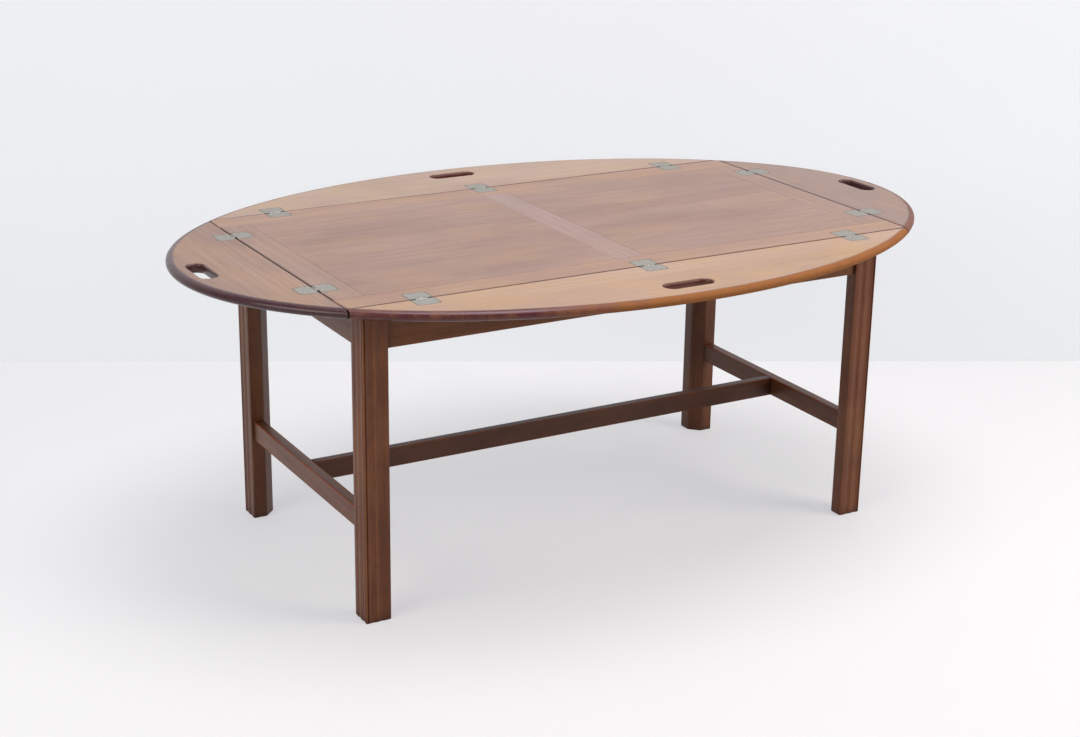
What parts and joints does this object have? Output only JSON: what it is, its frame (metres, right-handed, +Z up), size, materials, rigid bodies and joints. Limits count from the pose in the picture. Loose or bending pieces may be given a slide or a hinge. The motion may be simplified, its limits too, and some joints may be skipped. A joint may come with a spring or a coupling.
{
  "type": "butler tray table",
  "caption": "Oval coffee table: a lift-off framed tray with hinged fold-up leaves and handholds, on a stretcher base with moulded square legs.",
  "frame": {"origin": "on the floor, under the middle of the oval top", "axes": "+X along the oval's length, +Y from the front to the back, +Z up"},
  "size_m": [1.2, 0.8, 0.4685],
  "materials": {
    "dark_mahogany": "dark stained mahogany, satin lacquer, worn at the edges",
    "tray_mahogany": "mahogany, satin lacquer, pinkish brown",
    "leaf_mahogany": "mahogany, satin lacquer, tan on the flat and red brown on the nose",
    "pine": "bare softwood",
    "nickelled_brass": "dull nickel plating",
    "steel": "plain drawn wire"
  },
  "bodies": {
    "base": {"leg_front_left": "dark_mahogany", "leg_front_right": "dark_mahogany", "leg_back_left": "dark_mahogany", "leg_back_right": "dark_mahogany", "apron_front": "dark_mahogany", "apron_back": "dark_mahogany", "apron_left": "dark_mahogany", "apron_right": "dark_mahogany", "side_stretcher_left": "dark_mahogany", "side_stretcher_right": "dark_mahogany", "centre_stretcher": "dark_mahogany", "corner_block_front_left": "pine", "corner_block_front_right": "pine", "corner_block_back_left": "pine", "corner_block_back_right": "pine"},
    "tray": {"tray_rail_front": "tray_mahogany", "tray_rail_back": "tray_mahogany", "tray_rail_left": "tray_mahogany", "tray_rail_right": "tray_mahogany", "tray_muntin": "tray_mahogany", "tray_panel_left": "tray_mahogany", "tray_panel_right": "tray_mahogany", "tray_batten_left": "tray_mahogany", "tray_batten_right": "tray_mahogany", "hinge_tray_plate_front_1": "nickelled_brass", "hinge_tray_plate_front_2": "nickelled_brass", "hinge_tray_plate_front_3": "nickelled_brass", "hinge_tray_plate_back_1": "nickelled_brass", "hinge_tray_plate_back_2": "nickelled_brass", "hinge_tray_plate_back_3": "nickelled_brass", "hinge_tray_plate_left_1": "nickelled_brass", "hinge_tray_plate_left_2": "nickelled_brass", "hinge_tray_plate_right_1": "nickelled_brass", "hinge_tray_plate_right_2": "nickelled_brass", "hinge_pin_front_1": "steel", "hinge_pin_front_2": "steel", "hinge_pin_front_3": "steel", "hinge_pin_back_1": "steel", "hinge_pin_back_2": "steel", "hinge_pin_back_3": "steel", "hinge_pin_left_1": "steel", "hinge_pin_left_2": "steel", "hinge_pin_right_1": "steel", "hinge_pin_right_2": "steel"},
    "front_leaf": {"leaf_front": "leaf_mahogany", "hinge_leaf_plate_front_1": "nickelled_brass", "hinge_leaf_plate_front_2": "nickelled_brass", "hinge_leaf_plate_front_3": "nickelled_brass"},
    "back_leaf": {"leaf_back": "leaf_mahogany", "hinge_leaf_plate_back_1": "nickelled_brass", "hinge_leaf_plate_back_2": "nickelled_brass", "hinge_leaf_plate_back_3": "nickelled_brass"},
    "left_leaf": {"leaf_left": "leaf_mahogany", "hinge_leaf_plate_left_1": "nickelled_brass", "hinge_leaf_plate_left_2": "nickelled_brass"},
    "right_leaf": {"leaf_right": "leaf_mahogany", "hinge_leaf_plate_right_1": "nickelled_brass", "hinge_leaf_plate_right_2": "nickelled_brass"}
  },
  "joints": [
    {"name": "tray_lift", "type": "slide", "parent": "base", "child": "tray", "axis": [0, 0, 1], "range_m": [0, 0.25]},
    {"name": "front_leaf_fold", "type": "hinge", "parent": "tray", "child": "front_leaf", "pos_m": [0, -0.25142, 0.4666], "axis": [-1, 0, 0], "range_deg": [0, 90]},
    {"name": "back_leaf_fold", "type": "hinge", "parent": "tray", "child": "back_leaf", "pos_m": [0, 0.25142, 0.4666], "axis": [1, 0, 0], "range_deg": [0, 90]},
    {"name": "left_leaf_fold", "type": "hinge", "parent": "tray", "child": "left_leaf", "pos_m": [-0.4605, 0, 0.4666], "axis": [0, 1, 0], "range_deg": [0, 90]},
    {"name": "right_leaf_fold", "type": "hinge", "parent": "tray", "child": "right_leaf", "pos_m": [0.4605, 0, 0.4666], "axis": [0, -1, 0], "range_deg": [0, 90]}
  ]
}
